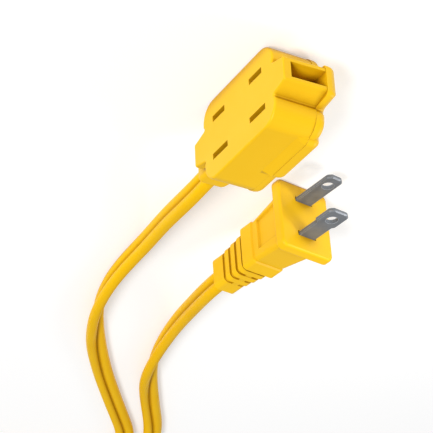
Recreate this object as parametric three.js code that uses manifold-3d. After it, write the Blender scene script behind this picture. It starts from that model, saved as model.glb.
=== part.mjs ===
// Household extension cord: a three-outlet tap, a flat two-wire cord and a two-blade plug.
// Millimetres, +Z up. The tap lies on its long side with its outlet face looking along -Y and its
// cord leaving along +X. The origin is on the floor, under the middle of the tap.
import * as THREE from "three";
import { mergeVertices } from "three/addons/utils/BufferGeometryUtils.js";
import Module from "manifold-3d";

const wasm = await Module();
wasm.setup();

// ---------------------------------------------------------------- driving dimensions
const GAP = 0.3; // air kept between pieces that touch
const CURVE_STEPS = 5; // facets on one rounded corner

const TAP = {
  depth: 18, // outlet face to the back of the raised pad
  halfHeight: 13.4,
  bodyHalfLength: 19,
  cornerRadius: 6,
  neckHalfLength: 24.8,
  neckRoot: 5.5,
  neckTip: 3.9,
  facePlate: 2.4,
  wall: 2,
  split: 13.6, // depth at which the front housing meets the rear cover
  backPlate: 17, // depth of the rear cover beside its raised pad
  backInside: 16.2, // how deep a blade can reach from the outlet face
  rearNeckHalf: 5.6,
  rearNeckLength: 25.6,
  cavityHalfLength: 16.4,
  ribLeft: -16.5, // the middle rib keeps the two rows of contacts apart
  ribRight: 8.8,
  ribThickness: 1,
};
// Opening of the near neck that the strain relief stands in: a waist and, outside it, a wider part.
const NECK = { from: 15, waistHalf: 4.2, collarFrom: 19.2, collarHalf: 8, outer: 27 };
const OUTLET = {
  pitch: 20.4, // between the two outlets of the face
  rowOffset: 6.35, // each blade row from the middle, half of 12.7
  slotThickness: 2,
  hotSlot: 6.8,
  neutralSlot: 8.3,
};
const PAD = { left: -14.8, right: 6, top: 14.7 }; // raised pad of the rear outlet
const POCKET = { halfHeight: 2.5, inner: -17.6, outer: -27 }; // open end of the far neck
const CORD = { thickness: 3.8, width: 7.6, sides: 8, clearance: 0.6 };
const RELIEF = {
  start: 9.7,
  flangeFrom: 15.1,
  flangeTo: 16.1,
  blockFrom: 19.6,
  end: 29.7,
  halfHeight: 5.5,
  front: 3,
  back: 13.3,
  draft: 0.7, // how much thinner each side is at the cord end
};
const STRIP = { from: -14.2, to: 14.2, inner: 8.2, thick: 0.7, front: 4, back: 12 };
const CLIP = { leaf: 0.5, mouth: 0.95, waist: 0.6, from: -3.6, to: 4.6 };
const CRIMP = { offset: 2.4, outer: 1.5, inner: 1.1, from: 5.2, to: 8.9, legWidth: 0.7 };
const LEG = { front: 6, back: 12 }; // depth of the leg between a bus strip and its crimp
const CONDUCTOR_RADIUS = 0.8;

const PLUG = {
  place: [41.3, 40.4, 12.4], // middle of the blade face
  yaw: THREE.MathUtils.degToRad(-7.7),
  rise: THREE.MathUtils.degToRad(2), // the tail stands a little higher than the blades
  plateHalfHeight: 12.3,
  plateHalfDepth: 10.1,
  plateThickness: 3.4,
  plateCorner: 3,
  rootHalfDepth: 7.4, // body behind the plate
  rootHalfHeight: 9.6,
  endHalfDepth: 5.8, // body in front of the collar
  endHalfHeight: 7.2,
  bodyEnd: 20,
  collarHalfDepth: 6.3,
  collarHalfHeight: 7.8,
  collarEnd: 25,
  reliefStart: 20.3,
  reliefEnd: 42,
  ribs: 4,
};
const GRIP = { from: 6.5, to: 16, low: -6.4, high: 5.2, depth: 0.5 }; // sunk panels of the body
const CARRIER = { from: 3.2, to: 8.2, halfDepth: 4, halfHeight: 8, slotHalf: 2.6 };
const BLADE = {
  thickness: 1.5,
  length: 16.2,
  hot: 6.35, // widths
  neutral: 7.94,
  neutralBase: 6.6, // the wide blade is narrower for its first part
  flareAt: 8.4,
  tip: 1.6,
  hole: 1.95,
  holeAt: 11.7,
  root: 2.6, // wide part inside the plate
  tailHalf: 2.2,
  tailTo: 11,
};
const BARREL = { offset: 5.2, outer: 1.6, from: 10.2, to: 14.2, wall: 0.8 }; // crimp of a blade

// Cord centreline where it isn't coiled, from each strain relief to the coil.
const TAP_ROUTE = [
  [10, 0, 13.4], [22, 0, 13.4], [33, 0.1, 13.4], [41.5, 0.8, 12.9], [50, 1.9, 11.6],
  [59, 3.3, 9.8], [68.5, 4.9, 7.9], [78, 6.6, 6.3], [88, 8.1, 5], [98, 9.1, 4.1],
  [108, 9.8, 3.8], [118, 10.9, 3.8], [128, 12.9, 3.8], [139, 16.1, 3.7], [151, 21.4, 3.3],
  [163, 27.7, 2.7], [175, 35, 2.2], [187, 42.9, 1.9], [199, 51.5, 1.9], [211, 60.3, 1.9],
  [222, 68.5, 1.9],
];
// The tap's end of the cord turns to the right before the coil: centre, radius, degrees.
const LEAD = { centre: [248.5, 45.65], radius: 34, from: 125, to: 35, steps: 9, low: 1.9, high: 4.8 };
const PLUG_ROUTE = [
  [62, 37.6, 13.1], [72, 36.3, 13.5], [84, 34.9, 13.8], [93.5, 35.6, 12.9], [103.5, 37.6, 11.1],
  [116.5, 40.9, 8.2], [130.5, 44.1, 5.8], [144.5, 47.4, 4.3], [156.5, 50.3, 3.8],
  [169, 54, 3.6], [181.5, 59.4, 3], [194, 66.3, 2.2], [206, 73.5, 1.9], [219, 81.4, 2.2],
  [231.5, 87.4, 2.7], [244, 91.8, 3.6], [262, 96.2, 6.2], [280, 100.7, 9.6], [296.3, 104.7, 12.2],
];
const COIL = { centre: [327.5, 63.9], inner: 34.1, outer: 49.2, bottom: 1.1, top: 16.7 };
const TIE = { thickness: 0.8, width: 12 };

// ---------------------------------------------------------------- materials
function material(name, colour, roughness, metalness) {
  return Object.assign(new THREE.MeshStandardMaterial({ color: colour, roughness, metalness }), { name });
}
const yellow = material("yellow_vinyl", 0xf6c92c, 0.45, 0);
const jacket = material("yellow_jacket", 0xf2b91f, 0.5, 0);
const brass = material("spring_brass", 0xc9a24b, 0.35, 1);
const steel = material("nickel_plate", 0x9a9a9c, 0.3, 1);
const copper = material("stranded_copper", 0xb87342, 0.4, 1);
const carrier = material("white_nylon", 0xe9e6dc, 0.6, 0);
const strap = material("black_strap", 0x1b1b1d, 0.8, 0);

// ---------------------------------------------------------------- solids and their booleans
function solid(geometry) {
  const bare = geometry.clone();
  for (const name of ["normal", "uv"]) bare.deleteAttribute(name);
  const merged = mergeVertices(bare, 1e-4);
  return new wasm.Manifold(new wasm.Mesh({
    numProp: 3,
    vertProperties: new Float32Array(merged.attributes.position.array),
    triVerts: new Uint32Array(merged.index.array),
  }));
}

function geometryOf(manifold) {
  const mesh = manifold.getMesh();
  const geometry = new THREE.BufferGeometry();
  geometry.setAttribute("position", new THREE.BufferAttribute(new Float32Array(mesh.vertProperties), 3));
  geometry.setIndex(new THREE.BufferAttribute(new Uint32Array(mesh.triVerts), 1));
  geometry.computeVertexNormals();
  return geometry;
}

function cut(base, ...tools) {
  return tools.reduce((result, tool) => result.subtract(tool), base);
}

function join(base, ...others) {
  return others.reduce((result, other) => result.add(other), base);
}

function box(x0, x1, y0, y1, z0, z1) {
  const geometry = new THREE.BoxGeometry(x1 - x0, y1 - y0, z1 - z0);
  return solid(geometry.translate((x0 + x1) / 2, (y0 + y1) / 2, (z0 + z1) / 2));
}

// An outline drawn in X and Z, given thickness from y0 to y1.
function slab(shape, y0, y1) {
  const geometry = new THREE.ExtrudeGeometry(shape, {
    depth: y1 - y0, bevelEnabled: false, curveSegments: CURVE_STEPS,
  });
  return solid(geometry.rotateX(Math.PI / 2).translate(0, y1, 0));
}

// An outline drawn in X and Y, given thickness from z0 to z1.
function slabFlat(shape, z0, z1) {
  const geometry = new THREE.ExtrudeGeometry(shape, { depth: z1 - z0, bevelEnabled: false });
  return solid(geometry.translate(0, 0, z0));
}

// An outline drawn in Y and Z, given length from x0 to x1.
function bar(shape, x0, x1) {
  const geometry = new THREE.ExtrudeGeometry(shape, {
    depth: x1 - x0, bevelEnabled: false, curveSegments: CURVE_STEPS,
  });
  return solid(geometry.rotateY(Math.PI / 2).rotateX(Math.PI / 2).translate(x0, 0, 0));
}

function roundRect(halfA, halfB, radius) {
  const shape = new THREE.Shape();
  shape.absarc(halfA - radius, halfB - radius, radius, 0, Math.PI / 2);
  shape.absarc(radius - halfA, halfB - radius, radius, Math.PI / 2, Math.PI);
  shape.absarc(radius - halfA, radius - halfB, radius, Math.PI, 1.5 * Math.PI);
  shape.absarc(halfA - radius, radius - halfB, radius, 1.5 * Math.PI, 2 * Math.PI);
  return shape;
}

function polygon(points) {
  return new THREE.Shape(points.map(([a, b]) => new THREE.Vector2(a, b)));
}

// A tapered bar along X between two rounded rectangles.
function taper(x0, halfY0, halfZ0, x1, halfY1, halfZ1) {
  const length = x1 - x0;
  const geometry = new THREE.BoxGeometry(length, 2, 2).translate(x0 + length / 2, 0, 0);
  const points = geometry.attributes.position;
  for (let i = 0; i < points.count; i += 1) {
    const along = (points.getX(i) - x0) / length;
    points.setY(i, points.getY(i) * THREE.MathUtils.lerp(halfY0, halfY1, along));
    points.setZ(i, points.getZ(i) * THREE.MathUtils.lerp(halfZ0, halfZ1, along));
  }
  return solid(geometry);
}

function rod(from, to, radius) {
  const start = new THREE.Vector3(...from);
  const span = new THREE.Vector3(...to).sub(start);
  const geometry = new THREE.CylinderGeometry(radius, radius, span.length(), 12);
  const turn = new THREE.Quaternion().setFromUnitVectors(
    new THREE.Vector3(0, 1, 0), span.clone().normalize());
  geometry.applyQuaternion(turn);
  return solid(geometry.translate(...start.addScaledVector(span, 0.5).toArray()));
}

// ---------------------------------------------------------------- assembly
const extensionCord = new THREE.Group();
const tapGroup = new THREE.Group();
tapGroup.position.set(0, -TAP.depth / 2, TAP.halfHeight); // y is then depth from the outlet face
const plugGroup = new THREE.Group();
plugGroup.position.set(...PLUG.place);
plugGroup.rotation.set(0, -PLUG.rise, PLUG.yaw, "ZYX"); // x runs from the blade face to the tail
extensionCord.add(tapGroup, plugGroup);

function add(group, name, shape, finish) {
  const geometry = shape.isBufferGeometry ? shape : geometryOf(shape);
  const mesh = new THREE.Mesh(geometry, finish);
  mesh.name = name;
  group.add(mesh);
}

// ---------------------------------------------------------------- tap housings
// Outline of the tap: a rounded body with a neck at each end.
function tapOutline(neckLength, rootHalf, tipHalf) {
  const { bodyHalfLength: b, halfHeight: h, cornerRadius: r } = TAP;
  const shape = new THREE.Shape();
  shape.moveTo(neckLength, -tipHalf);
  shape.lineTo(neckLength, tipHalf);
  shape.lineTo(b, rootHalf);
  shape.absarc(b - r, h - r, r, 0, Math.PI / 2);
  shape.absarc(r - b, h - r, r, Math.PI / 2, Math.PI);
  shape.lineTo(-b, rootHalf);
  shape.lineTo(-neckLength, tipHalf);
  shape.lineTo(-neckLength, -tipHalf);
  shape.lineTo(-b, -rootHalf);
  shape.absarc(r - b, r - h, r, Math.PI, 1.5 * Math.PI);
  shape.absarc(b - r, r - h, r, 1.5 * Math.PI, 2 * Math.PI);
  shape.lineTo(b, -rootHalf);
  return shape;
}

function slot(x, z, length, y0, y1) {
  const half = OUTLET.slotThickness / 2;
  return box(x - length / 2, x + length / 2, y0, y1, z - half, z + half);
}

function outletSlots(x, y0, y1) {
  return [
    slot(x, -OUTLET.rowOffset, OUTLET.hotSlot, y0, y1),
    slot(x, OUTLET.rowOffset, OUTLET.neutralSlot, y0, y1),
  ];
}

function frontHousing() {
  const past = TAP.split + 1;
  const outer = slab(tapOutline(TAP.neckHalfLength, TAP.neckRoot, TAP.neckTip), 0, TAP.split);
  const cavity = slab(roundRect(TAP.cavityHalfLength, TAP.halfHeight - TAP.wall,
    TAP.cornerRadius - TAP.wall), TAP.facePlate, past);
  const rib = box(TAP.ribLeft, TAP.ribRight, TAP.facePlate - 0.5, TAP.split,
    -TAP.ribThickness / 2, TAP.ribThickness / 2);
  const pocket = box(POCKET.outer, POCKET.inner, TAP.facePlate, past,
    -POCKET.halfHeight, POCKET.halfHeight);
  const waist = box(NECK.from, NECK.outer, TAP.facePlate + GAP, past, -NECK.waistHalf, NECK.waistHalf);
  const collar = box(NECK.collarFrom, NECK.outer, TAP.facePlate, past,
    -NECK.collarHalf, NECK.collarHalf);
  const hollow = cut(outer, cavity, pocket, waist, collar);
  return cut(join(hollow, rib),
    ...outletSlots(-OUTLET.pitch / 2, -1, TAP.facePlate + 1),
    ...outletSlots(OUTLET.pitch / 2, -1, TAP.facePlate + 1));
}

function rearCover() {
  const plate = slab(tapOutline(TAP.rearNeckLength, TAP.rearNeckHalf, TAP.rearNeckHalf),
    TAP.split + GAP, TAP.backPlate);
  const pad = box(PAD.left, PAD.right, TAP.split + GAP, TAP.depth, -TAP.halfHeight, PAD.top);
  const hollow = slab(roundRect(TAP.cavityHalfLength, TAP.halfHeight - TAP.wall,
    TAP.cornerRadius - TAP.wall), TAP.split, TAP.backInside);
  return cut(join(plate, pad), hollow, ...outletSlots(0, TAP.backInside - 1, TAP.depth + 1));
}

function tapStrainRelief() {
  const middle = (RELIEF.front + RELIEF.back) / 2;
  const halfDepth = (RELIEF.back - RELIEF.front) / 2;
  const waistHalf = NECK.waistHalf - GAP;
  const block = taper(RELIEF.blockFrom, halfDepth, RELIEF.halfHeight, RELIEF.end,
    halfDepth - RELIEF.draft, RELIEF.halfHeight - RELIEF.draft).translate([0, middle, 0]);
  const waist = box(RELIEF.flangeTo - 0.1, RELIEF.blockFrom + 0.4, RELIEF.front + 1,
    RELIEF.back - 1, -waistHalf, waistHalf);
  const flange = box(RELIEF.flangeFrom, RELIEF.flangeTo, RELIEF.front + 0.4, RELIEF.back - 0.3,
    -RELIEF.halfHeight + GAP, RELIEF.halfHeight - GAP);
  const sleeve = box(RELIEF.start, RELIEF.flangeFrom + 0.4, RELIEF.front + 2.2, RELIEF.back - 0.5,
    -waistHalf - 0.5, waistHalf + 0.5);
  const bore = bar(roundRect(CORD.thickness / 2 + CORD.clearance, CORD.width / 2 + 0.2, 2.3),
    RELIEF.start - 1, RELIEF.end + 1).translate([0, TAP.depth / 2, 0]);
  return cut(join(block, waist, flange, sleeve), bore);
}

add(tapGroup, "tap_front_housing", frontHousing(), yellow);
add(tapGroup, "tap_rear_cover", rearCover(), yellow);
add(tapGroup, "tap_strain_relief", tapStrainRelief(), yellow);

// ---------------------------------------------------------------- tap contacts, one set for each row
// A folded clip whose two leaves close on a blade between them; side is -1 for hot, 1 for neutral.
function contactClip(x, side) {
  const { leaf, mouth, waist, from, to } = CLIP;
  const outline = [
    [from, mouth], [from, mouth + leaf], [0, waist + leaf], [to, mouth + leaf],
    [to, -mouth - leaf], [0, -waist - leaf], [from, -mouth - leaf], [from, -mouth],
    [0, -waist], [to - leaf, -mouth], [to - leaf, mouth], [0, waist],
  ].map(([a, b]) => [x + a, side * OUTLET.rowOffset + b]);
  return slab(polygon(outline), STRIP.front, STRIP.back);
}

function busStrip(side) {
  const row = (z0, z1) => (side > 0 ? [z0, z1] : [-z1, -z0]);
  const rail = box(STRIP.from, STRIP.to, STRIP.front, STRIP.back,
    ...row(STRIP.inner, STRIP.inner + STRIP.thick));
  const leg = box(CRIMP.from, CRIMP.from + CRIMP.legWidth, LEG.front, LEG.back,
    ...row(CRIMP.offset + 1, STRIP.inner + 0.2));
  const middle = TAP.depth / 2;
  const z = side * CRIMP.offset;
  const barrel = rod([CRIMP.from, middle, z], [CRIMP.to, middle, z], CRIMP.outer);
  const bore = rod([CRIMP.from - 1, middle, z], [CRIMP.to + 1, middle, z], CRIMP.inner);
  return cut(join(rail, leg, barrel), bore);
}

for (const [row, side] of [["hot", -1], ["neutral", 1]]) {
  add(tapGroup, `${row}_bus_strip`, busStrip(side), brass);
  for (const [outlet, x] of [["far", -OUTLET.pitch / 2], ["rear", 0], ["near", OUTLET.pitch / 2]]) {
    add(tapGroup, `${row}_clip_${outlet}`, contactClip(x, side), brass);
  }
  const z = side * CRIMP.offset;
  const tail = rod([CRIMP.from + 0.3, TAP.depth / 2, z], [RELIEF.start - 0.4, TAP.depth / 2, z],
    CONDUCTOR_RADIUS);
  add(tapGroup, `tap_${row}_conductor`, tail, copper);
}

// ---------------------------------------------------------------- plug, x from its face to its tail
function plugBody() {
  const root = PLUG.plateThickness - 0.2;
  const plate = bar(roundRect(PLUG.plateHalfDepth, PLUG.plateHalfHeight, PLUG.plateCorner),
    0, PLUG.plateThickness);
  const body = taper(root, PLUG.rootHalfDepth, PLUG.rootHalfHeight,
    PLUG.bodyEnd, PLUG.endHalfDepth, PLUG.endHalfHeight);
  const collar = bar(roundRect(PLUG.collarHalfDepth, PLUG.collarHalfHeight, 1.6),
    PLUG.bodyEnd - 1, PLUG.collarEnd);
  const underGrip = taper(root, PLUG.rootHalfDepth - GRIP.depth, PLUG.rootHalfHeight + 1,
    PLUG.bodyEnd, PLUG.endHalfDepth - GRIP.depth, PLUG.rootHalfHeight + 1);
  const grip = cut(box(GRIP.from, GRIP.to, -9, 9, GRIP.low, GRIP.high), underGrip);
  const insideDepth = CARRIER.halfDepth + GAP;
  const carrierRoom = box(CARRIER.from - GAP, CARRIER.to + GAP, -insideDepth, insideDepth,
    -CARRIER.halfHeight - GAP, CARRIER.halfHeight + GAP);
  const barrelTop = BARREL.offset + BARREL.outer + GAP;
  const barrelRoom = box(CARRIER.to, BARREL.to + GAP, -insideDepth, insideDepth,
    -barrelTop - GAP, barrelTop + GAP);
  const tailRoom = taper(BARREL.to, insideDepth, barrelTop, PLUG.collarEnd + 1, insideDepth, 5.4);
  const blades = [[-1, BLADE.hot], [1, BLADE.neutral]].map(([side, width]) => {
    const half = width / 2 + GAP;
    const thin = BLADE.thickness / 2 + GAP;
    const z = side * OUTLET.rowOffset;
    return box(-1, PLUG.plateThickness, -half, half, z - thin, z + thin);
  });
  return cut(join(plate, body, collar), grip, carrierRoom, barrelRoom, tailRoom, ...blades);
}

function bladeCarrier() {
  const { from, to, halfDepth, halfHeight, slotHalf } = CARRIER;
  const thin = BLADE.thickness / 2 + GAP - 0.05;
  const block = box(from, to, -halfDepth, halfDepth, -halfHeight, halfHeight);
  const slots = [-OUTLET.rowOffset, OUTLET.rowOffset].map((z) => (
    box(from - 1, to + 1, -slotHalf, slotHalf, z - thin, z + thin)));
  return cut(block, ...slots);
}

function blade(side, baseWidth, tipWidth) {
  const z = side * OUTLET.rowOffset;
  const { thickness, length, hole, holeAt, flareAt, root, tip, tailHalf, tailTo } = BLADE;
  const base = baseWidth / 2;
  const half = tipWidth / 2;
  const outline = polygon([
    [root, -base], [root, base], [-flareAt, base], [-flareAt - 0.7, half], [tip - length, half],
    [-length, half - tip], [-length, tip - half], [tip - length, -half],
    [-flareAt - 0.7, -half], [-flareAt, -base],
  ]);
  const flat = slabFlat(outline, z - thickness / 2, z + thickness / 2);
  const tail = box(root - 0.2, tailTo, -tailHalf, tailHalf, z - thickness / 2, z + thickness / 2);
  const opening = rod([-holeAt, 0, z - 3], [-holeAt, 0, z + 3], hole);
  const middle = side * BARREL.offset;
  const barrel = rod([BARREL.from, 0, middle], [BARREL.to, 0, middle], BARREL.outer);
  const bore = rod([BARREL.from + 0.8, 0, middle], [BARREL.to + 1, 0, middle],
    BARREL.outer - BARREL.wall / 2);
  return cut(join(flat, tail, barrel), opening, bore);
}

function plugStrainRelief() {
  const from = PLUG.collarEnd + GAP;
  const pitch = (PLUG.reliefEnd - from) / PLUG.ribs;
  const rootInside = box(PLUG.reliefStart, from + 0.5, -3.9, 3.9, -5, 5);
  const core = taper(from, 4.4, 5.8, PLUG.reliefEnd - 0.5, 3.2, 4.9);
  const rings = Array.from({ length: PLUG.ribs }, (_, i) => {
    const size = 1 - 0.045 * i;
    const x = from + i * pitch;
    return bar(roundRect(5.3 * size, 6.9 * size, 1.8), x, x + pitch * 0.68);
  });
  const bore = bar(roundRect(CORD.thickness / 2 + CORD.clearance, CORD.width / 2 + GAP, 2),
    PLUG.reliefStart - 1, PLUG.reliefEnd + 1);
  return cut(join(core, rootInside, ...rings), bore);
}

add(plugGroup, "plug_body", plugBody(), yellow);
add(plugGroup, "plug_blade_carrier", bladeCarrier(), carrier);
add(plugGroup, "plug_strain_relief", plugStrainRelief(), yellow);
for (const [row, side, base, width] of [
  ["hot", -1, BLADE.hot, BLADE.hot], ["neutral", 1, BLADE.neutralBase, BLADE.neutral],
]) {
  add(plugGroup, `${row}_blade`, blade(side, base, width), steel);
  const z = side * BARREL.offset;
  const held = rod([BARREL.from + 1.4, 0, z], [BARREL.to + 0.4, 0, z], CONDUCTOR_RADIUS);
  const run = rod([BARREL.to, 0, z], [PLUG.bodyEnd - 0.4, 0, side * CORD.thickness / 2],
    CONDUCTOR_RADIUS);
  add(plugGroup, `plug_${row}_conductor`, join(held, run), copper);
}

// ---------------------------------------------------------------- the free cord
function leadArc() {
  const { centre, radius, from, to, steps, low, high } = LEAD;
  return Array.from({ length: steps }, (_, i) => {
    const share = i / (steps - 1);
    const angle = THREE.MathUtils.degToRad(THREE.MathUtils.lerp(from, to, share));
    return [centre[0] + radius * Math.cos(angle), centre[1] + radius * Math.sin(angle),
      THREE.MathUtils.lerp(low, high, share)];
  });
}

function cordTube(route) {
  const points = route.map((p) => new THREE.Vector3(...p));
  const path = new THREE.CatmullRomCurve3(points, false, "catmullrom", 0.5);
  const section = new THREE.Shape();
  for (let i = 0; i < CORD.sides; i += 1) {
    const angle = (2 * Math.PI * (i + 0.5)) / CORD.sides;
    const at = [Math.cos(angle) * CORD.thickness / 2, Math.sin(angle) * CORD.thickness / 2];
    if (i === 0) section.moveTo(...at);
    else section.lineTo(...at);
  }
  return new THREE.ExtrudeGeometry(section, {
    steps: route.length - 1, extrudePath: path, bevelEnabled: false,
  });
}

function coilRing() {
  const { inner, outer, bottom, top, centre } = COIL;
  const profile = [[inner, bottom], [outer, bottom], [outer, top], [inner, top], [inner, bottom]];
  const geometry = new THREE.LatheGeometry(profile.map(([r, z]) => new THREE.Vector2(r, z)), 48);
  return solid(geometry.rotateX(Math.PI / 2).translate(centre[0], centre[1], 0));
}

function coilTie() {
  const { inner, outer, bottom, top, centre } = COIL;
  const far = TIE.thickness + GAP;
  const half = TIE.width / 2;
  const y = centre[1];
  const band = box(centre[0] + inner - far, centre[0] + outer + far, y - half, y + half,
    bottom - far, top + far);
  const room = box(centre[0] + inner - GAP - 0.6, centre[0] + outer + GAP, y - half - 1, y + half + 1,
    bottom - GAP, top + GAP);
  return cut(band, room);
}

add(extensionCord, "cord_run_tap", cordTube([...TAP_ROUTE, ...leadArc()]), jacket);
add(extensionCord, "cord_run_plug", cordTube(PLUG_ROUTE), jacket);
add(extensionCord, "cord_coil", coilRing(), jacket);
add(extensionCord, "coil_tie", coilTie(), strap);

export default extensionCord;
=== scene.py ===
"""Looks of the household extension cord: tap, flat cord, coil and plug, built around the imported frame.

Design numbers are millimetres and become metres through MM. The tap's own space has x along it,
y the depth from its outlet face and z up; the plug's own space has x from blade face to tail.
"""

import math

import bmesh
import bpy
import numpy as np
from mathutils import Matrix, Vector


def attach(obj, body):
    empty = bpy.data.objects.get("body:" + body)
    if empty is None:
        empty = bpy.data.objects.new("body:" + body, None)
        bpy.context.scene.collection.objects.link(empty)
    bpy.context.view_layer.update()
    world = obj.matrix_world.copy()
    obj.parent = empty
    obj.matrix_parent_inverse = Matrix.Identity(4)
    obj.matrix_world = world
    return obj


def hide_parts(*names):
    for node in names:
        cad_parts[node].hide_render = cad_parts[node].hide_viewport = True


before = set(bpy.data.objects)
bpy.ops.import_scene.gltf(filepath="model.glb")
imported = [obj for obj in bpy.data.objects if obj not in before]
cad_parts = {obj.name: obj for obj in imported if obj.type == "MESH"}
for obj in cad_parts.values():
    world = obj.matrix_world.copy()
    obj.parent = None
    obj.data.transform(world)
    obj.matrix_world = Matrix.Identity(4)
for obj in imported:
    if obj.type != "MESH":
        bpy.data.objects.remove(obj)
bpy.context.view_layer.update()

MM = 0.001
TAP_PLACE = Matrix.Translation((0, -0.009, 0.0134))
PLUG_PLACE = (
    Matrix.Translation((0.0413, 0.0404, 0.0124))
    @ Matrix.Rotation(math.radians(-7.7), 4, "Z")
    @ Matrix.Rotation(math.radians(-2), 4, "Y")
)


def add_object(name, data):
    made = bpy.data.objects.new(name, data)
    bpy.context.scene.collection.objects.link(made)
    return made


# ---------------------------------------------------------------- camera
def add_camera():
    data = bpy.data.cameras.new("camera")
    data.lens = 138.5
    data.sensor_width = 36
    data.clip_start = 0.02
    camera = add_object("camera", data)
    right = Vector((-0.5003, 0.8650, 0.0397))
    up = Vector((-0.4669, -0.2309, -0.8536))
    back = right.cross(up)
    turn = Matrix((right, up, back)).transposed().to_4x4()
    camera.matrix_world = Matrix.Translation((-0.3271, -0.2174, 0.2829)) @ turn
    bpy.context.scene.camera = camera


add_camera()


# ---------------------------------------------------------------- node helpers
def new_group(name, kind, inputs, outputs):
    """A node group with named inputs (name, type, default) and outputs (name, type)."""
    tree = bpy.data.node_groups.new(name, kind)
    for label, socket, default in inputs:
        made = tree.interface.new_socket(label, in_out="INPUT", socket_type=socket)
        if default is not None:
            made.default_value = default
    for label, socket in outputs:
        tree.interface.new_socket(label, in_out="OUTPUT", socket_type=socket)
    return tree, tree.nodes.new("NodeGroupInput"), tree.nodes.new("NodeGroupOutput")


def node(tree, kind, links=None, **settings):
    """A node with its settings; links maps an input to a value or to the socket that feeds it."""
    made = tree.nodes.new(kind)
    for key, value in settings.items():
        setattr(made, key, value)
    for key, value in (links or {}).items():
        if isinstance(value, bpy.types.NodeSocket):
            tree.links.new(value, made.inputs[key])
        else:
            made.inputs[key].default_value = value
    return made


def math_node(tree, operation, a, b=0.0):
    return node(tree, "ShaderNodeMath", {0: a, 1: b}, operation=operation).outputs[0]


def blend_colours(tree, share, a, b):
    return node(tree, "ShaderNodeMix", {0: share, 6: a, 7: b}, data_type="RGBA").outputs[2]


def spread(tree, value, low, high, to_low, to_high):
    """The value's stretch from low to high, spread over the one from to_low to to_high."""
    return node(
        tree, "ShaderNodeMapRange", {0: value, 1: low, 2: high, 3: to_low, 4: to_high}
    ).outputs[0]


def noise(tree, place, scale, detail):
    return node(
        tree, "ShaderNodeTexNoise", {"Vector": place, "Scale": scale, "Detail": detail}
    ).outputs["Fac"]


# ---------------------------------------------------------------- shared surface effects
def moulded_skin():
    """Colour, roughness and fine grain of a moulded or extruded plastic surface."""
    tree, given, out = new_group(
        "moulded_skin",
        "ShaderNodeTree",
        [
            ("Place", "NodeSocketVector", None),
            ("Colour", "NodeSocketColor", (0.8, 0.8, 0.8, 1)),
            ("Deep Colour", "NodeSocketColor", (0.7, 0.7, 0.7, 1)),
            ("Grain Scale", "NodeSocketFloat", 3000.0),
            ("Mottle Scale", "NodeSocketFloat", 60.0),
            ("Mottle", "NodeSocketFloat", 0.4),
            ("Roughness", "NodeSocketFloat", 0.4),
        ],
        [("Colour", "NodeSocketColor"), ("Roughness", "NodeSocketFloat"), ("Height", "NodeSocketFloat")],
    )
    ask = given.outputs
    cloud = noise(tree, ask["Place"], ask["Mottle Scale"], 3.0)
    grain = noise(tree, ask["Place"], ask["Grain Scale"], 2.0)
    pit_scale = math_node(tree, "MULTIPLY", ask["Grain Scale"], 0.6)
    pits = node(
        tree, "ShaderNodeTexVoronoi", {"Vector": ask["Place"], "Scale": pit_scale}
    ).outputs["Distance"]
    share = math_node(tree, "MULTIPLY", spread(tree, cloud, 0.3, 0.7, 0.0, 1.0), ask["Mottle"])
    colour = blend_colours(tree, share, ask["Colour"], ask["Deep Colour"])
    uneven = math_node(
        tree, "ADD",
        spread(tree, cloud, 0.25, 0.75, -0.04, 0.05),
        spread(tree, grain, 0.2, 0.8, -0.02, 0.03),
    )
    roughness = math_node(tree, "ADD", ask["Roughness"], uneven)
    height = math_node(
        tree, "ADD", math_node(tree, "MULTIPLY", grain, 0.7), math_node(tree, "MULTIPLY", pits, 0.3)
    )
    tree.links.new(colour, out.inputs["Colour"])
    tree.links.new(roughness, out.inputs["Roughness"])
    tree.links.new(height, out.inputs["Height"])
    return tree


def edge_polish_and_highlight():
    """Mask of the outer corners, broken up by a fine noise, for the polish that handling leaves there and for
    a painted highlight on them.
    """
    tree, given, out = new_group(
        "edge_polish_and_highlight",
        "ShaderNodeTree",
        [
            ("Place", "NodeSocketVector", None),
            ("Reach", "NodeSocketFloat", 0.0005),
            ("Amount", "NodeSocketFloat", 0.5),
        ],
        [("Mask", "NodeSocketFloat")],
    )
    ask = given.outputs
    rounded_off = node(tree, "ShaderNodeBevel", {"Radius": ask["Reach"]}, samples=6).outputs[0]
    facing = node(tree, "ShaderNodeNewGeometry").outputs["Normal"]
    agree = node(
        tree, "ShaderNodeVectorMath", {0: rounded_off, 1: facing}, operation="DOT_PRODUCT"
    ).outputs["Value"]
    turned = spread(tree, agree, 0.85, 0.995, 1.0, 0.0)
    breakup = noise(tree, ask["Place"], 220.0, 4.0)
    edge_share = math_node(tree, "MULTIPLY", turned, spread(tree, breakup, 0.35, 0.6, 0.35, 1.0))
    tree.links.new(math_node(tree, "MULTIPLY", edge_share, ask["Amount"]), out.inputs["Mask"])
    return tree


def painted_corner_shade():
    """Mask of painted shade: high in the inner corners and slots, where little light falls."""
    tree, given, out = new_group(
        "painted_corner_shade",
        "ShaderNodeTree",
        [
            ("Place", "NodeSocketVector", None),
            ("Reach", "NodeSocketFloat", 0.003),
            ("Amount", "NodeSocketFloat", 1.0),
        ],
        [("Mask", "NodeSocketFloat")],
    )
    ask = given.outputs
    open_share = node(tree, "ShaderNodeAmbientOcclusion", {"Distance": ask["Reach"]}, samples=8)
    breakup = noise(tree, ask["Place"], 500.0, 2.0)
    shut = spread(tree, open_share.outputs["AO"], 0.45, 0.96, 1.0, 0.0)
    uneven = math_node(tree, "MULTIPLY", shut, spread(tree, breakup, 0.3, 0.7, 0.85, 1.0))
    tree.links.new(math_node(tree, "MULTIPLY", uneven, ask["Amount"]), out.inputs["Mask"])
    return tree


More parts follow.
